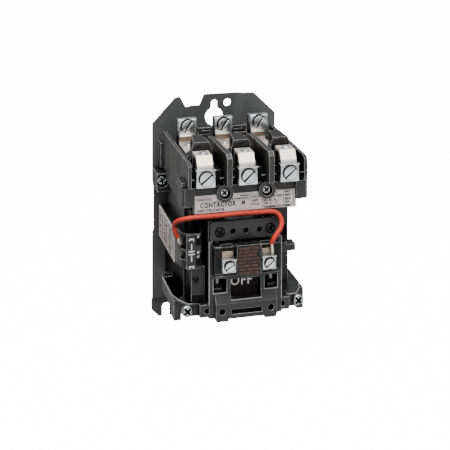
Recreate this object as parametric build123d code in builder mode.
"""Three-pole magnetic starter contactor on a folded steel mounting plate.

Frame: X to the right, Y to the back, Z up, millimetres. The origin is the centre of the plate's
rear face, which lies on the wall, so Y is minus the forward distance from the wall.
Below, "forward" ranges are distances from the wall, so they grow towards the front.
"""

import os
from build123d import *

os.makedirs("parts", exist_ok=True)

# --- driving dimensions ---------------------------------------------------------------------
plate_width = 90.5
plate_height = 156.2
sheet = 1.6                      # plate thickness
plate_step = 3.0                 # how far the side sections stand in front of the centre channel
slot_spacing = 69.8              # between the two bottom mounting slots
slot_radius = 2.8
keyhole_x = 0.6
round_hole = (10.4, 71.4)        # x, z of the plate's extra round hole

travel = 6.5                     # lift of the crossbar from OFF to ON
bridge_lift = 5.0                # lift of a contact bridge until it meets the fixed contacts
touch_gap = 0.05                 # clearance left between parts that meet at the end of travel
slip = 0.05                      # radial clearance of screws and pins in their holes

line_poles = {"left": -25.7, "centre": 0.0, "right": 25.7}
load_poles = {"left": -28.0, "centre": 0.0, "right": 28.0}
bridge_poles = {"left": -27.0, "centre": 0.0, "right": 27.0}

wall = 2.0                       # moulded wall thickness
block_half = 39.7                # half width of the contact block
core_half = 36.0                 # half width of the base housing
tunnel_half = 24.4               # half width of the coil tunnel
tunnel_inner = 22.3
housing_back = sheet + plate_step
core_front = 66.6
frame_front = 90.6               # front face of the coil tunnel
base_bottom = -45.4
tray_top = -37.5
block_bottom = 26.0              # the contact block sits on the base housing here
block_floor = 49.0               # top of the solid part of the contact block

line_contact = 45.6              # forward distances of the two rows of fixed contacts
load_contact = 71.6
strap_width = 10.5
strap_sheet = 1.6
strap_low = 49.8                 # underside of the contact ends of the straps
tip_height = 1.5

stack_back = 54.0                # forward range of the laminated magnet stack
stack_front = 74.0
outer_leg = (15.6, 21.0)         # x range of an outer magnet leg
centre_leg = 5.5                 # half width of the centre leg
yoke_face = -17.4                # height of the yoke's outer pole faces
yoke_centre_face = -8.0
armature_gap = travel + touch_gap

pin_x = 18.2                     # the two locating pins beside the coil
pin_forward = 86.0
pin_radius = 1.7

# screw places as (x, z); each pair is mirrored
side_screw = (41.5, 24.5)
corner_screw = (37.5, -41.3)
plate_screw = (30.0, -30.0)
cover_screw = (14.1, 35.4)
strip_screw = (17.0, 9.7)
coil_terminal = (13.3, -8.6)
line_hole_z = 64.4               # height of the line and load terminal screws
load_hole_z = 47.6
line_strap_hole = 34.5           # forward distance of the small screws that hold the straps
load_strap_hole = 88.4


# --- helpers --------------------------------------------------------------------------------
def save(piece, name):
    """Label a finished sub-part and write its STEP file."""
    piece.part.label = name
    export_step(piece.part, f"parts/{name}.step")


def block(x, forward, z, mode=Mode.ADD):
    """Box given by its x, forward and z ranges."""
    centre = (sum(x) / 2, -sum(forward) / 2, sum(z) / 2)
    with Locations(centre):
        Box(x[1] - x[0], forward[1] - forward[0], z[1] - z[0], mode=mode)


def mirrored(x, forward, z, mode=Mode.ADD):
    """The same box on the right and, mirrored, on the left."""
    block(x, forward, z, mode)
    block((-x[1], -x[0]), forward, z, mode)


def rod(x, z, radius, forward, mode=Mode.ADD):
    """Cylinder that runs from back to front."""
    with BuildSketch(Plane.XZ.offset(forward[0])) as disc:
        with Locations((x, z)):
            Circle(radius)
    extrude(disc.sketch, amount=forward[1] - forward[0], mode=mode)


def post(x, forward, radius, z, mode=Mode.ADD):
    """Cylinder that runs upwards."""
    with BuildSketch(Plane.XY.offset(z[0])) as disc:
        with Locations((x, -forward)):
            Circle(radius)
    extrude(disc.sketch, amount=z[1] - z[0], mode=mode)


def side_prism(points, x, mode=Mode.ADD):
    """Outline of (forward, z) points carried from left to right."""
    with BuildSketch(Plane.YZ.offset(x[0])) as face:
        with BuildLine():
            Polyline(*[(-forward, z) for forward, z in points], close=True)
        make_face()
    extrude(face.sketch, amount=x[1] - x[0], mode=mode)


def top_prism(points, z, mode=Mode.ADD):
    """Outline of (x, forward) points carried upwards."""
    with BuildSketch(Plane.XY.offset(z[0])) as face:
        with BuildLine():
            Polyline(*[(x, -forward) for x, forward in points], close=True)
        make_face()
    extrude(face.sketch, amount=z[1] - z[0], mode=mode)


def pan_screw(x, z, seat, head_radius, head_height, shank_radius, length):
    """Round-head screw whose head sits on the forward distance seat; the shank points back."""
    rod(x, z, head_radius, (seat, seat + head_height))
    rim = edges(Select.LAST).filter_by(GeomType.CIRCLE).sort_by(Axis.Y)[0]
    fillet(rim, head_height * 0.55)
    rod(x, z, shank_radius, (seat - length, seat))


def cross_recess(x, z, top, width, size, depth):
    """Cross-shaped driver recess, sunk from the forward distance top."""
    block((x - size, x + size), (top - depth, top + 1), (z - width / 2, z + width / 2), Mode.SUBTRACT)
    block((x - width / 2, x + width / 2), (top - depth, top + 1), (z - size, z + size), Mode.SUBTRACT)


def driver_slot(x, z, top, width, size, depth, angle):
    """Straight driver slot at an angle, sunk from the forward distance top."""
    with BuildSketch(Plane.XZ.offset(top - depth)) as slot:
        with Locations((x, z)):
            Rectangle(2 * size, width, rotation=angle)
    extrude(slot.sketch, amount=depth + 1, mode=Mode.SUBTRACT)


# --- mounting plate -------------------------------------------------------------------------
top = plate_height / 2
half = plate_width / 2
slot_x = slot_spacing / 2
slot_top = -68.9
notch_depth = 7.7
foot_line = -66.4                # below this height the side sections step back to the wall
fold_run = 4.5                   # width of the slanted fold beside the channel
channel_top = 18.5               # half width of the channel at the plate's top
channel_low = 13.0               # and from 22 mm below it
channel_bend = 22.0


def side_section(extra):
    """Half outline of a raised side section; extra moves its edges away from the channel."""
    return [
        (channel_top + extra, top + 2),
        (half + 2, top + 2),
        (half + 2, foot_line + extra * 0.7),
        (channel_low + extra, foot_line + extra * 0.7),
        (channel_low + extra, top - channel_bend),
    ]


def plate_relief(near, far, mode):
    """Raised side sections with slanted flanks, between two forward distances."""
    for side in (1, -1):
        with BuildSketch(Plane.XZ.offset(near)) as low:
            with BuildLine():
                Polyline(*[(side * x, z) for x, z in side_section(0)], close=True)
            make_face()
        with BuildSketch(Plane.XZ.offset(far)) as high:
            with BuildLine():
                Polyline(*[(side * x, z) for x, z in side_section(fold_run)], close=True)
            make_face()
        loft(sections=[low.sketch, high.sketch], mode=mode)


with BuildPart() as back_plate:
    block((-half, half), (0, sheet), (-top, top))
    plate_relief(sheet, housing_back, Mode.ADD)
    plate_relief(-0.001, plate_step, Mode.SUBTRACT)
    with BuildSketch(Plane.XZ.offset(-1)) as outline:
        with BuildLine():
            Polyline(
                (-half, 60.1), (-28.9, 77.3), (-25.8, top), (-24.8, 77.6), (-21.1, top - notch_depth),
                (-10.1, top - notch_depth), (-6.8, top), (29.6, top), (half, 63.1), (half, -top + 5),
                (half - 5, -top), (-half + 5, -top), (-half, -top + 5), (-half, -16.4),
                (-half + 0.9, -15.4), (-half + 0.9, 18.2), (-half, 19.2), close=True,
            )
        make_face()
    extrude(outline.sketch, amount=housing_back + 2, mode=Mode.INTERSECT)
    for side in (-1, 1):
        rod(side * slot_x, slot_top - slot_radius, slot_radius, (-1, housing_back + 1), Mode.SUBTRACT)
        centre = side * slot_x
        block(
            (centre - slot_radius, centre + slot_radius), (-1, housing_back + 1),
            (-top - 1, slot_top - slot_radius), Mode.SUBTRACT,
        )
        rod(side * side_screw[0], side_screw[1], 1.95, (0, housing_back + 1), Mode.SUBTRACT)
        rod(side * plate_screw[0], plate_screw[1], 1.7, (0, housing_back + 1), Mode.SUBTRACT)
    rod(keyhole_x, 71.5, 2.4, (-1, sheet + 1), Mode.SUBTRACT)
    block((keyhole_x - 2.4, keyhole_x + 2.4), (-1, sheet + 1), (62, 71.5), Mode.SUBTRACT)
    rod(keyhole_x, 61.7, 6.7, (-1, sheet + 1), Mode.SUBTRACT)
    rod(round_hole[0], round_hole[1], slot_radius, (-1, sheet + 1), Mode.SUBTRACT)
save(back_plate, "back_plate")

# --- base housing ---------------------------------------------------------------------------
tray_outline = [
    (22.0, 27.0), (42.2, 27.0), (44.3, 35.0), (44.3, 66.0), (41.2, 76.0), (36.8, 83.6), (22.0, 83.6),
]
tray_pocket = [
    (24.9, 34.8), (43.2, 34.8), (43.2, 65.8), (40.2, 75.4), (36.2, 82.4), (24.9, 82.4),
]
pillar = (12.5, 22.5)
strip_low, strip_high = 4.5, 16.6
window_bar = -19.9               # upper edge of the side windows

with BuildPart() as base_housing:
    block((-core_half, core_half), (housing_back, core_front), (base_bottom, block_bottom))
    block((-tunnel_half, tunnel_half), (core_front, 88.4), (base_bottom, strip_high + 0.2))
    block((-tunnel_half, tunnel_half), (88.4, frame_front), (base_bottom, strip_low - 0.1))
    # bottom trays
    for side in (-1, 1):
        top_prism([(side * x, forward) for x, forward in tray_outline], (base_bottom, tray_top))
        block(sorted((side * 39.4, side * 44.3)), (66.0, 75.0), (-50.9, tray_top))
    top_prism([(-x, forward) for x, forward in tray_pocket], (-44.6, tray_top + 1), Mode.SUBTRACT)
    mirrored((36.2, 41.6), (28.8, 33.2), (tray_top - 2.5, tray_top + 1), Mode.SUBTRACT)
    # front boss with its slanted top, side steps and lower lugs
    side_prism(
        [(89.0, -29.5), (frame_front, -29.5), (93.6, -35.5), (93.6, base_bottom), (89.0, base_bottom)],
        (-20.5, 20.5),
    )
    mirrored((20.5, 30.2), (80.0, 89.3), (-44.6, -36.6))
    mirrored((12.2, 20.0), (84.0, 93.6), (-46.9, base_bottom))
    # inside of the core and of the tunnel
    block((-core_half, -34), (housing_back, core_front), (-44, tray_top + 1))
    block((-34, 34), (housing_back + 2.5, core_front - wall), (-43.4, block_bottom + 1), Mode.SUBTRACT)
    block((-34, -tunnel_half + 0.1), (core_front - wall, core_front), (-44, tray_top + 1))
    block((-tunnel_inner, tunnel_inner), (60, 88.4), (-43.4, strip_high + 1), Mode.SUBTRACT)
    block((-tunnel_inner, tunnel_inner), (88, frame_front + 1), (yoke_face - 0.2, strip_low), Mode.SUBTRACT)
    # windows
    mirrored((12.6, 21.6), (88, frame_front + 3), (-29.4, window_bar), Mode.SUBTRACT)
    block((-10.25, 10.25), (88, 94), (-33.7, -21.0), Mode.SUBTRACT)
    # blind holes and slot of the front boss
    for side in (-1, 1):
        rod(side * 16.3, -40.5, 2.1, (90.2, 94), Mode.SUBTRACT)
        rod(side * 25.6, -40.8, 1.7, (86.0, 90), Mode.SUBTRACT)
    block((-10.2, 10.2), (90.2, 94), (-42.6, -39.4), Mode.SUBTRACT)
    # pillars for the retainer strip
    mirrored(pillar, (stack_front + 0.8, 88.4), (5.0, strip_high))
    # ledges that carry the yoke
    mirrored((21.3, 28.0), (50.0, core_front - 1), (5.0, 17.0))
    mirrored((21.2, 24.1), (49.0, 75.0), (9.0, 17.5), Mode.SUBTRACT)
    # guide ribs for the crossbar
    mirrored((20.3, 22.8), (6.0, 44.0), (-43.4, 17.0))
    # passages for the crossbar's arms
    block((-34.0, -29.6), (60, core_front + 1), (16.8, block_bottom + 1), Mode.SUBTRACT)
    block((29.6, 35.0), (60, core_front + 1), (-8.4, 3.2), Mode.SUBTRACT)
    # ears of the upper screws and bosses of the lower ones
    mirrored((35.0, 45.2), (housing_back, 22.0), (17.0, 29.6))
    for side in (-1, 1):
        rod(side * side_screw[0], side_screw[1], 4.5, (19.6, 23.0), Mode.SUBTRACT)
        rod(side * corner_screw[0], corner_screw[1], 3.7, (70.0, 84.0))
        rod(side * plate_screw[0], plate_screw[1], 4.0, (housing_back + 2, 15.0))
        rod(side * side_screw[0], side_screw[1], 2.2, (0, 23), Mode.SUBTRACT)
        rod(side * corner_screw[0], corner_screw[1], 1.9 + slip, (71.0, 85.0), Mode.SUBTRACT)
        rod(side * plate_screw[0], plate_screw[1], 1.5 + slip, (0, 14.0), Mode.SUBTRACT)
        # screw and pin holes of the pillars
        rod(side * strip_screw[0], strip_screw[1], 1.3 + slip, (81.0, 89.0), Mode.SUBTRACT)
        post(side * pin_x, pin_forward, pin_radius, (4.0, 7.6), Mode.SUBTRACT)
save(base_housing, "base_housing")

# --- contact block --------------------------------------------------------------------------
barrier = (12.2, 15.6)
chamber_half = 7.2

with BuildPart() as contact_block:
    block((-block_half, block_half), (16, 86), (block_bottom, block_floor))
    # outer walls with their chamfered front corner
    for side in (-1, 1):
        side_prism(
            [(16, block_floor - 1), (16, 57.7), (95.0, 57.7), (98.4, 56.0), (98.4, 42.4), (84, 42.4)],
            sorted((side * block_half, side * (block_half - wall))),
        )
        # raised left and right shoulder of each pole barrier
        side_prism(
            [(26, block_floor - 1), (26, 54.5), (44, 55.5), (50, 61.6), (60, 62.3), (101.5, 63.4),
             (104, 61.0), (104, 43.5), (101.0, 42.4), (84, 42.4)],
            sorted((side * barrier[0], side * barrier[1])),
        )
        # bump on the outside of the wall
        block(sorted((side * block_half, side * 42.4)), (78, 90), (40.6, 43.4))
    for x in line_poles.values():
        # backing of a line terminal
        block((x - 5.4, x + 5.4), (20, 27.4), (block_floor, 67.2))
        rod(x, line_hole_z, 2.2, (19, 28), Mode.SUBTRACT)
    for x in load_poles.values():
        # backing of a load terminal
        block((x - 5.4, x + 5.4), (82.4, 93.4), (40.6, 54.5))
        block((x - 5.4, x + 5.4), (82.4, 90.6), (54.4, 59.0))
        rod(x, load_hole_z, 2.2, (85, 94), Mode.SUBTRACT)
        post(x, load_strap_hole, 1.5 + slip, (52.0, 60.0), Mode.SUBTRACT)
    for x in line_poles.values():
        post(x, line_strap_hole, 1.2 + slip, (44.0, block_floor + 1), Mode.SUBTRACT)
    # arc chambers and the crossbar's cavity below them
    for x in bridge_poles.values():
        block((x - chamber_half, x + chamber_half), (40.5, 79.5), (30, block_floor + 1), Mode.SUBTRACT)
    block((-36.7, 36.7), (36.5, 70.0), (block_bottom - 1, 35.0), Mode.SUBTRACT)
    # rear webs between the poles, each with two thin slots
    for side in (-1, 1):
        web = sorted((side * 7.0, side * 17.6))
        block(web, (19.0, 28.0), (block_floor - 0.1, 61.4))
        block(sorted((side * 7.6, side * 14.0)), (24.0, 29.0), (59.5, 60.7), Mode.SUBTRACT)
        block(sorted((side * 8.5, side * 17.2)), (22.0, 29.0), (56.9, 58.3), Mode.SUBTRACT)
    # flanges that reach back to the plate, each with an upright slot
    mirrored((36.5, 41.6), (housing_back + 0.1, 16.2), (31.8, block_floor))
    mirrored((40.2, 42.0), (8.0, 12.0), (36.0, 46.5), Mode.SUBTRACT)
    # notch above the auxiliary arm, and corners cut back above the upper screws
    block((-34.6, -29.0), (60, 81), (block_bottom - 1, 28.2), Mode.SUBTRACT)
    mirrored((35.0, 45.2), (15, 26.5), (block_bottom - 1, 31.6), Mode.SUBTRACT)
    # threaded holes of the cover screws
    for side in (-1, 1):
        rod(side * cover_screw[0], cover_screw[1], 1.5 + slip, (72.0, 87.0), Mode.SUBTRACT)
save(contact_block, "contact_block")

# --- front cover ----------------------------------------------------------------------------
label_face = 90.1
with BuildPart() as front_cover:
    block((-34.5, 34.5), (86, label_face), (22.4, 39.9))
    # corner blocks that reach back along the sides
    for side in (-1, 1):
        top_prism(
            [(side * 34.0, 86.0), (side * 34.0, 91.6), (side * 40.6, 91.6), (side * 42.4, 89.8),
             (side * 42.4, 74.6), (side * 39.75, 74.6), (side * 39.75, 86.0)],
            (28.1, 39.9),
        )
        rod(side * cover_screw[0], cover_screw[1], 5.6, (86, 92.6))
        rod(side * cover_screw[0], cover_screw[1], 3.7, (89.6, 93), Mode.SUBTRACT)
        rod(side * cover_screw[0], cover_screw[1], 1.7, (85, 93), Mode.SUBTRACT)
save(front_cover, "front_cover")

with BuildPart() as nameplate:
    block((-33.8, 33.6), (label_face, label_face + 0.3), (22.9, 34.5))
    for side in (-1, 1):
        rod(side * cover_screw[0], cover_screw[1], 5.7, (label_face - 1, label_face + 1), Mode.SUBTRACT)
save(nameplate, "nameplate")

with BuildPart() as cover_screws:
    for side in (-1, 1):
        pan_screw(side * cover_screw[0], cover_screw[1], 89.6, 2.8, 1.8, 1.5, 15.0)
        cross_recess(side * cover_screw[0], cover_screw[1], 91.4, 0.7, 1.6, 1.0)
save(cover_screws, "cover_screws")

# --- power terminals ------------------------------------------------------------------------
line_pad = 27.5                  # rear face of a line strap's upright pad
load_pad = 93.5                  # rear face of a load strap's upright pad
strap_top = 59.1                 # underside of the load straps' upper run

with BuildPart() as line_straps:
    for side, x in line_poles.items():
        edge = (x - strap_width / 2, x + strap_width / 2)
        side_prism(
            [(line_pad, strap_low), (line_pad, 68.6), (line_pad + strap_sheet, 68.6),
             (line_pad + strap_sheet, strap_low + strap_sheet), (49.4, strap_low + strap_sheet),
             (49.4, strap_low)],
            edge,
        )
        post(x, line_strap_hole, 1.2 + slip, (strap_low - 1, strap_low + 3), Mode.SUBTRACT)
        rod(x, line_hole_z, 2.0 + slip, (line_pad - 1, line_pad + 3), Mode.SUBTRACT)
        with BuildSketch(Plane.XY.offset(strap_low - tip_height)) as tip:
            with Locations((bridge_poles[side], -line_contact)):
                RectangleRounded(6.4, 6.0, 1.2)
        extrude(tip.sketch, amount=tip_height)
save(line_straps, "line_straps")

with BuildPart() as load_straps:
    for side, x in load_poles.items():
        edge = (x - strap_width / 2, x + strap_width / 2)
        outer = load_pad + strap_sheet
        side_prism(
            [(outer, 42.6), (load_pad, 42.6), (load_pad, 54.6), (90.8, strap_top), (82.3, strap_top),
             (82.3, strap_low), (67.6, strap_low), (67.6, strap_low + strap_sheet),
             (80.7, strap_low + strap_sheet), (80.7, strap_top + strap_sheet),
             (91.6, strap_top + strap_sheet), (outer, 55.2)],
            edge,
        )
        post(x, load_strap_hole, 1.5 + slip, (strap_top - 1, strap_top + 3), Mode.SUBTRACT)
        rod(x, load_hole_z, 2.0 + slip, (load_pad - 1, load_pad + 3), Mode.SUBTRACT)
        with BuildSketch(Plane.XY.offset(strap_low - tip_height)) as tip:
            with Locations((bridge_poles[side], -load_contact)):
                RectangleRounded(6.4, 6.0, 1.2)
        extrude(tip.sketch, amount=tip_height)
save(load_straps, "load_straps")


def upright_screw(x, forward, seat, head_radius, head_height, shank_radius, length):
    """Round-head screw standing on the height seat, with a straight slot."""
    post(x, forward, head_radius, (seat, seat + head_height))
    rim = edges(Select.LAST).filter_by(GeomType.CIRCLE).sort_by(Axis.Z)[-1]
    fillet(rim, head_height * 0.6)
    post(x, forward, shank_radius, (seat - length, seat))
    with BuildSketch(Plane.XY.offset(seat + head_height * 0.5)) as slot:
        with Locations((x, -forward)):
            Rectangle(2.4 * head_radius, 0.7, rotation=35)
    extrude(slot.sketch, amount=head_height, mode=Mode.SUBTRACT)


with BuildPart() as line_strap_screws:
    for x in line_poles.values():
        upright_screw(x, line_strap_hole, strap_low + strap_sheet, 2.4, 1.5, 1.2, 6.5)
save(line_strap_screws, "line_strap_screws")

with BuildPart() as load_strap_screws:
    for x in load_poles.values():
        upright_screw(x, load_strap_hole, strap_top + strap_sheet, 3.2, 1.9, 1.5, 6.5)
save(load_strap_screws, "load_strap_screws")


def saddle_clamp(x, z, back, width, height, hole_z, hole):
    """Saddle clamp: a plate with side lips folded back over the strap."""
    face = back + 2.6
    block((x - width / 2, x + width / 2), (back + 1.0, face), (z - height / 2, z + height / 2))
    fillet(edges().filter_by(Axis.Y), 0.8)
    lip = 1.1
    for side in (-1, 1):
        edge = x + side * width / 2
        low, high = z - height / 2 + 0.8, z + height / 2 - 0.8
        block(sorted((edge, edge - side * lip)), (back - 2.2, back + 1.2), (low, high))
    rod(x, hole_z, hole, (back - 3, face + 1), Mode.SUBTRACT)


def terminal_screw(x, z, seat, head_radius, shank_radius, length, angle):
    """Binding-head terminal screw with a straight driver slot."""
    head_height = 2.7
    rod(x, z, head_radius, (seat, seat + head_height))
    rim = edges(Select.LAST).filter_by(GeomType.CIRCLE).sort_by(Axis.Y)[0]
    fillet(rim, 0.9)
    rod(x, z, shank_radius, (seat - length, seat))
    driver_slot(x, z, seat + head_height, 1.3, head_radius + 1, 1.3, angle)


line_seat = line_pad + strap_sheet
load_seat = load_pad + strap_sheet
for side, x in line_poles.items():
    with BuildPart() as line_clamp:
        saddle_clamp(x, 63.0, line_seat + 0.1, 13.4, 12.2, line_hole_z, 2.2)
    save(line_clamp, f"line_clamp_{side}")
    with BuildPart() as line_screw:
        terminal_screw(x, line_hole_z, line_seat + 2.7, 4.6, 2.0, 9.0, 58)
    save(line_screw, f"line_screw_{side}")
for side, x in load_poles.items():
    with BuildPart() as load_clamp:
        saddle_clamp(x, 47.3, load_seat + 0.1, 13.4, 11.6, load_hole_z, 2.2)
    save(load_clamp, f"load_clamp_{side}")
    with BuildPart() as load_screw:
        terminal_screw(x, load_hole_z, load_seat + 2.7, 4.7, 2.0, 12.0, 50)
    save(load_screw, f"load_screw_{side}")

# --- arc hoods ------------------------------------------------------------------------------
# each end of a hood: forward distance, half width of its side and of its flat top, height of the top
hood_rear = (64.0, 4.2, 3.2, 66.6)
hood_face = (79.4, 6.6, 5.2, 65.8)
hood_sheet = 1.2
hood_foot = 51.6
hood_base = 7.6                  # half width of the foot, which straddles the load strap
with BuildPart() as arc_hoods:
    for x in bridge_poles.values():
        for shrink, mode in ((0, Mode.ADD), (hood_sheet, Mode.SUBTRACT)):
            ends = []
            for (forward, flank, top, high), inward in ((hood_rear, shrink), (hood_face, -shrink)):
                corners = [(hood_base, hood_foot - shrink), (hood_base, 55.0 - shrink)]
                corners += [(flank, 56.6 - shrink), (flank, 61.0), (top, high - shrink)]
                right = [(x + half_width - shrink, z) for half_width, z in corners]
                left = [(x - half_width + shrink, z) for half_width, z in reversed(corners)]
                with BuildSketch(Plane.XZ.offset(forward + inward)) as end:
                    with BuildLine():
                        Polyline(*right, *left, close=True)
                    make_face()
                ends.append(end.sketch)
            loft(ends, mode=mode)
        # feet on the rim of the chamber
        for side in (-1, 1):
            cheek = sorted((x + side * (hood_base - hood_sheet), x + side * (chamber_half + 1.0)))
            block(cheek, (hood_rear[0], hood_face[0]), (block_floor, 52.4))
save(arc_hoods, "arc_hoods")

# --- magnet ---------------------------------------------------------------------------------
with BuildPart() as magnet_yoke:
    block((-24, 24), (stack_back, stack_front), (9.1, 16.0))
    mirrored(outer_leg, (stack_back, stack_front), (yoke_face, 10.0))
    block((-centre_leg, centre_leg), (stack_back, stack_front), (yoke_centre_face, 10.0))
    block((-21.1, 21.1), (stack_back, stack_front), (7.4, 9.2))
    mirrored((18.0, 19.1), (stack_back - 1, stack_front + 1), (yoke_face - 1, -15.2), Mode.SUBTRACT)
save(magnet_yoke, "magnet_yoke")

with BuildPart() as shading_rings:
    mirrored((18.05, 22.0), (stack_back - 1.0, stack_front + 0.75), (-17.3, -15.3))
    mirrored((19.1, 21.0), (stack_back, stack_front), (-18, -15), Mode.SUBTRACT)
save(shading_rings, "shading_rings")

armature_low = -39.0
armature_pin_z = -35.0
with BuildPart() as armature:
    block((-21, 21), (stack_back, stack_front), (armature_low, -31.0))
    mirrored(outer_leg, (stack_back, stack_front), (-32, yoke_face - armature_gap))
    block((-centre_leg, centre_leg), (stack_back, stack_front), (-32, yoke_centre_face - armature_gap))
    rod(0, armature_pin_z, 1.5, (50, 80), Mode.SUBTRACT)
save(armature, "armature")

with BuildPart() as armature_pin:
    rod(0, armature_pin_z, 1.5, (stack_back - 3.0, stack_front + 3.0))
save(armature_pin, "armature_pin")

# --- coil -----------------------------------------------------------------------------------
coil_top, coil_low = 2.1, yoke_face
bobbin = 6.0                     # half width of the hole for the centre leg
winding_half = 13.6
coil_body_top = 4.8
with BuildPart() as coil_body:
    block((-15.0, 15.0), (45.6, 83.2), (coil_low, coil_body_top))
    block((-15.0, 15.0), (83.0, 88.7), (-9.0, 4.2))
    block((-22.0, 22.0), (88.5, 95.0), (coil_low, coil_top))
    fillet(edges().filter_by(Axis.Z).group_by(Axis.Y)[0], 1.0)
    block((-7.9, 7.9), (94.9, 99.6), (coil_low + 1.6, coil_top + 1.4))
    block((-bobbin, bobbin), (stack_back - 0.3, stack_front + 0.3), (coil_low - 1, 8), Mode.SUBTRACT)
    # annular space for the winding
    block((-winding_half, winding_half), (46.8, 82.0), (coil_low + 1.5, coil_body_top - 1.2), Mode.SUBTRACT)
    tube = (-bobbin - 1.2, bobbin + 1.2)
    block(tube, (stack_back - 1.5, stack_front + 1.5), (coil_low + 1.4, coil_body_top - 1.1))
    block((-bobbin, bobbin), (stack_back - 0.3, stack_front + 0.3), (coil_low - 1, 8), Mode.SUBTRACT)
    for side in (-1, 1):
        rod(side * coil_terminal[0], coil_terminal[1], 1.5 + slip, (88.0, 96.0), Mode.SUBTRACT)
        # notch that the bent end of a strap lies in
        notch = sorted((side * (coil_terminal[0] - 3.7), side * (coil_terminal[0] + 3.7)))
        block(notch, (90.9, 95.1), (-1.45, coil_top + 0.1), Mode.SUBTRACT)
save(coil_body, "coil_body")

with BuildPart() as coil_winding:
    block((-winding_half, winding_half), (46.8, 82.0), (coil_low + 1.5, coil_body_top - 1.2))
    fillet(edges().filter_by(Axis.Z), 3.0)
    block(
        (-bobbin - 1.2, bobbin + 1.2), (stack_back - 1.5, stack_front + 1.5), (coil_low, 6), Mode.SUBTRACT,
    )
save(coil_winding, "coil_winding")

with BuildPart() as coil_straps:
    for x in (-coil_terminal[0], coil_terminal[0]):
        side_prism(
            [(95.0, -13.2), (96.2, -13.2), (96.2, -2.2), (95.6, -1.0), (91.0, -0.2), (91.0, -1.4),
             (95.0, -1.4)],
            (x - 3.6, x + 3.6),
        )
        rod(x, coil_terminal[1], 1.5 + slip, (94, 98), Mode.SUBTRACT)
save(coil_straps, "coil_straps")

for side, x in {"left": -coil_terminal[0], "right": coil_terminal[0]}.items():
    with BuildPart() as coil_clamp:
        saddle_clamp(x, coil_terminal[1] - 0.2, 98.2, 9.7, 8.5, coil_terminal[1], 1.7)
    save(coil_clamp, f"coil_clamp_{side}")
    with BuildPart() as coil_screw:
        terminal_screw(x, coil_terminal[1], 100.8, 3.5, 1.5, 11.5, 38)
    save(coil_screw, f"coil_screw_{side}")

with BuildPart() as retainer_strip:
    block((-23.4, 23.4), (88.4, 90.4), (strip_low, strip_high))
    fillet(edges().filter_by(Axis.Y), 0.8)
    for side in (-1, 1):
        rod(side * strip_screw[0], strip_screw[1], 1.5, (88, 91), Mode.SUBTRACT)
        rod(side * strip_screw[0], strip_screw[1], 3.7, (89.6, 91), Mode.SUBTRACT)
    for x in (-8.4, 0.4, 9.5):
        rod(x, strip_screw[1], 1.9, (88, 91), Mode.SUBTRACT)
save(retainer_strip, "retainer_strip")

with BuildPart() as retainer_screws:
    for side in (-1, 1):
        pan_screw(side * strip_screw[0], strip_screw[1], 89.6, 3.0, 1.7, 1.3, 7.4)
        cross_recess(side * strip_screw[0], strip_screw[1], 91.3, 0.8, 1.8, 1.0)
save(retainer_screws, "retainer_screws")

with BuildPart() as base_screws:
    for side in (-1, 1):
        pan_screw(side * corner_screw[0], corner_screw[1], 84.0, 3.9, 2.7, 1.9, 12.0)
        cross_recess(side * corner_screw[0], corner_screw[1], 86.7, 1.0, 2.4, 1.6)
save(base_screws, "base_screws")

with BuildPart() as plate_screws:
    for side in (-1, 1):
        rod(side * plate_screw[0], plate_screw[1], 3.0, (0.9, plate_step))
        fillet(edges(Select.LAST).filter_by(GeomType.CIRCLE).sort_by(Axis.Y)[-1], 1.2)
        rod(side * plate_screw[0], plate_screw[1], 1.5, (plate_step, 13.0))
        x, z = side * plate_screw[0], plate_screw[1]
        block((x - 1.7, x + 1.7), (0, 1.9), (z - 0.4, z + 0.4), Mode.SUBTRACT)
        block((x - 0.4, x + 0.4), (0, 1.9), (z - 1.7, z + 1.7), Mode.SUBTRACT)
save(plate_screws, "plate_screws")

with BuildPart() as side_screws:
    for side in (-1, 1):
        pan_screw(side * side_screw[0], side_screw[1], 19.6, 3.5, 2.4, 1.9, 17.0)
        cross_recess(side * side_screw[0], side_screw[1], 22.0, 0.9, 2.2, 1.5)
save(side_screws, "side_screws")

with BuildPart() as guide_pins:
    for side in (-1, 1):
        post(side * pin_x, pin_forward, pin_radius, (-25.2, 7.6))
        fillet(edges(Select.LAST).filter_by(GeomType.CIRCLE).sort_by(Axis.Z)[0], pin_radius * 0.95)
save(guide_pins, "guide_pins")

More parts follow.
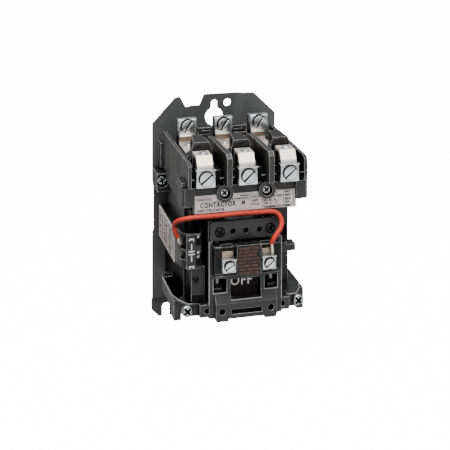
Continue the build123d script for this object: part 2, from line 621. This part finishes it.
# --- crossbar and what it carries -----------------------------------------------------------
slab_top = 25.0
bridge_low = 41.0                # underside of a contact bridge at rest
bridge_sheet = 1.2
bridge_tip = strap_low - tip_height - bridge_lift - touch_gap   # upper face of its tips
carrier_top = hood_foot - travel - 0.3    # stays below the hoods when the crossbar is lifted
with BuildPart() as crossbar:
    block((-33.0, 33.0), (38.0, 64.3), (17.5, slab_top))
    block((-20.0, 20.0), (38.0, 42.0), (-42.4, 18.0))
    block((-20.0, 20.0), (38.0, 46.0), (-42.4, armature_low - 0.05))
    block((-21.8, 21.8), (45.0, 84.2), (-42.4, armature_low - 0.05))
    # cheeks that hold the armature
    block((-12, 12), (stack_back - 3.0, stack_back - 0.3), (-40, -30.6))
    block((-12, 12), (stack_front + 0.3, stack_front + 3.0), (-40, -30.6))
    rod(0, armature_pin_z, 1.5, (50, 80), Mode.SUBTRACT)
    # rest pads under the shelf
    mirrored((12.0, 16.0), (44.0, 70.0), (-43.35, -42.3))
    # posts with sockets for the locating pins
    mirrored((15.6, 20.8), (83.4, 88.3), (-42.4, -27.0))
    for side in (-1, 1):
        post(side * pin_x, pin_forward, pin_radius + slip, (-36.0, -26.0), Mode.SUBTRACT)
    # right leg and the side arm that stands out beside the coil tunnel
    block((30.2, 33.0), (54.0, 62.0), (-7.6, 18.0))
    block((30.4, 33.8), (61.0, 78.0), (-7.6, -4.4))
    block((25.0, 35.8), (75.4, 84.6), (-8.3, -4.0))
    block((25.0, 30.0), (75.4, 84.6), (-8.3, -2.8))
    # left arm above the auxiliary plunger
    block((-33.8, -30.4), (62.0, 77.0), (17.5, 21.0))
    # contact carriers
    for x in bridge_poles.values():
        block((x - 5.6, x + 5.6), (52.6, 64.6), (slab_top - 1, carrier_top))
        block((x - 3.7, x + 3.7), (52.0, 65.0), (29.0, bridge_low + bridge_sheet + 0.02), Mode.SUBTRACT)
save(crossbar, "crossbar")

for side, x in bridge_poles.items():
    with BuildPart() as contact_bridge:
        block((x - 3.5, x + 3.5), (42.6, 74.6), (bridge_low, bridge_low + bridge_sheet))
        for forward in (line_contact, load_contact):
            block((x - 3.0, x + 3.0), (forward - 2.8, forward + 2.8), (bridge_low + 0.5, bridge_tip))
    save(contact_bridge, f"contact_bridge_{side}")


def coil_spring(x, forward, z, radius, wire, turns):
    """Helical compression spring standing upright."""
    height = z[1] - z[0] - 2 * wire
    with BuildLine() as path:
        Helix(pitch=height / turns, height=height, radius=radius, center=(x, -forward, z[0] + wire))
    with BuildSketch(Plane(origin=path.line @ 0, z_dir=path.line % 0)) as section:
        Circle(wire)
    sweep(section.sketch, path=path.line)


for side, x in bridge_poles.items():
    with BuildPart() as contact_spring:
        coil_spring(x, 58.6, (29.05, bridge_low - 0.05), 2.6, 0.45, 5)
    save(contact_spring, f"contact_spring_{side}")

kick_x = 16.0
with BuildPart() as kickout_springs:
    for x in (-kick_x, kick_x):
        coil_spring(x, 47.0, (slab_top + 0.05, 34.95), 3.0, 0.55, 4)
save(kickout_springs, "kickout_springs")

with BuildPart() as indicator_flag:
    block((-9.6, 9.6), (84.3, 85.6), (-42.3, -19.9))
    block((-9.6, 9.6), (83.6, 84.4), (-38.9, -36.0))
save(indicator_flag, "indicator_flag")

# --- auxiliary contact ----------------------------------------------------------------------
aux_left, aux_right = -42.0, -27.6
aux_low, aux_high = -13.4, 9.2
plunger_x, plunger_forward = -33.0, 74.0
aux_step = -1.5                  # floor of the upper terminal pocket
aux_terminals = ((-39.9, 2.6), (-40.0, -5.6))
foot_low = -35.6
with BuildPart() as aux_housing:
    block((aux_left, -core_half), (14.0, 67.0), (-16.4, 6.1))
    top_prism(
        [(aux_left, 66.7), (aux_left, 76.0), (-40.4, 82.4), (-38.2, 85.6), (-35.5, 86.6), (-29.6, 86.6),
         (-28.0, 84.8), (aux_right, 80.0), (aux_right, 66.7)],
        (aux_low, aux_high),
    )
    # rib that carries the marks, and the foot column below it
    block((-38.4, -29.4), (84.0, 87.2), (aux_low, aux_high - 0.6))
    block((-34.9, -26.0), (70.0, 84.8), (foot_low, aux_low + 0.2))
    # upper terminal pocket, open to the left, and the narrow lower one
    block((-43.0, -38.4), (79.4, 90.0), (aux_step, aux_high - 1.6), Mode.SUBTRACT)
    block((-41.3, -38.6), (79.4, 90.0), (-8.2, -3.2), Mode.SUBTRACT)
    # contact space and the plunger's hole
    block((-40.6, -28.8), (68.2, 78.2), (-12.4, 7.4), Mode.SUBTRACT)
    post(plunger_x, plunger_forward, 1.4 + slip, (5.0, 10.0), Mode.SUBTRACT)
    # slots that the fixed contacts lie in
    block((-41.4, -38.4), (78.0, 79.5), (-0.6, 5.6), Mode.SUBTRACT)
    block((-41.4, -28.8), (78.0, 79.5), (-9.6, -7.0), Mode.SUBTRACT)
    block((-41.4, -38.4), (78.0, 79.5), (-9.6, -3.0), Mode.SUBTRACT)
    block((-31.1, -28.8), (78.0, 79.5), (-9.6, 0.6), Mode.SUBTRACT)
    # threaded holes of the terminal screws and of the foot screw
    for x, z in aux_terminals:
        rod(x, z, 0.9 + slip, (76.0, 79.5), Mode.SUBTRACT)
    rod(-32.1, -21.5, 1.2 + slip, (76.0, 86.0), Mode.SUBTRACT)
save(aux_housing, "aux_housing")

with BuildPart() as side_label:
    block((aux_left - 0.3, aux_left), (14.6, 66.4), (-15.8, 5.5))
save(side_label, "side_label")

tip_low = -0.4                   # underside of the fixed auxiliary contacts
aux_seat = 79.4                  # front face of the fixed contacts' terminal pads
aux_sheet = 0.8
with BuildPart() as aux_contacts:
    pad = (aux_seat - aux_sheet, aux_seat)
    block((-40.4, -38.5), (71.5, aux_seat), (tip_low, tip_low + aux_sheet))
    block((-41.3, -38.5), pad, (tip_low, 5.4))
    block((-30.9, -29.0), (71.5, aux_seat), (tip_low, tip_low + aux_sheet))
    block((-30.9, -29.0), pad, (-9.4, tip_low + aux_sheet))
    block((-41.2, -29.0), pad, (-9.4, -7.2))
    block((-41.2, -38.6), pad, (-9.4, -3.2))
    for x, z in aux_terminals:
        rod(x, z, 0.9 + slip, (78, 81), Mode.SUBTRACT)
save(aux_contacts, "aux_contacts")

with BuildPart() as aux_screws:
    for x, z in aux_terminals:
        pan_screw(x, z, aux_seat, 1.25, 1.0, 0.9, 2.6)
        cross_recess(x, z, aux_seat + 1.0, 0.4, 0.8, 0.5)
save(aux_screws, "aux_screws")

with BuildPart() as aux_foot_screw:
    pan_screw(-32.1, -21.5, 84.8, 2.2, 1.3, 1.2, 8.5)
    cross_recess(-32.1, -21.5, 86.1, 0.6, 1.4, 0.8)
save(aux_foot_screw, "aux_foot_screw")

aux_touch = tip_low - armature_gap + 0.03
with BuildPart() as aux_bridge:
    block((-40.0, -29.3), (72.0, 76.0), (aux_touch - 1.4, aux_touch - 0.6))
    for x in ((-40.0, -38.0), (-30.8, -29.3)):
        block(x, (72.4, 75.6), (aux_touch - 0.7, aux_touch))
    post(plunger_x, plunger_forward, 1.4, (-12, 0), Mode.SUBTRACT)
save(aux_bridge, "aux_bridge")

flange_low = aux_touch - 2.6
with BuildPart() as aux_plunger:
    post(plunger_x, plunger_forward, 1.4, (flange_low, 17.45))
    post(plunger_x, plunger_forward, 2.4, (flange_low, aux_touch - 1.4))
save(aux_plunger, "aux_plunger")

with BuildPart() as aux_spring:
    coil_spring(plunger_x, plunger_forward, (-12.35, flange_low - 0.05), 1.6, 0.25, 3)
save(aux_spring, "aux_spring")

# --- control lead ---------------------------------------------------------------------------
lead_radius = 1.6
core_radius = 0.8
lead_points = [
    (15.6, 98.6, 2.8), (18.9, 98.6, 8.5), (22.7, 96.6, 14.0), (21.4, 93.6, 19.5), (12.1, 92.6, 21.5),
    (-4.7, 92.6, 21.8), (-21.2, 92.6, 21.5), (-37.0, 91.2, 21.0), (-43.2, 87.6, 18.8),
    (-45.6, 83.0, 14.4), (-45.0, 82.4, 9.4), (-43.2, 82.4, 6.0),
]


def lead(points, radius):
    """Round wire along a smooth curve through (x, forward, z) points."""
    with BuildLine() as path:
        Spline(*[(x, -forward, z) for x, forward, z in points])
    with BuildSketch(Plane(origin=path.line @ 0, z_dir=path.line % 0)) as section:
        Circle(radius)
    sweep(section.sketch, path=path.line)


with BuildPart() as control_lead:
    lead(lead_points, lead_radius)
save(control_lead, "control_lead")

with BuildPart() as lead_ends:
    lead([(15.65, 98.5, 2.3), (16.0, 97.9, -1.5), (16.0, 97.8, -9.5)], core_radius)
    lead([(-42.95, 82.4, 5.45), (-42.4, 82.3, 3.6), (-42.2, 82.2, 1.2)], core_radius)
save(lead_ends, "lead_ends")
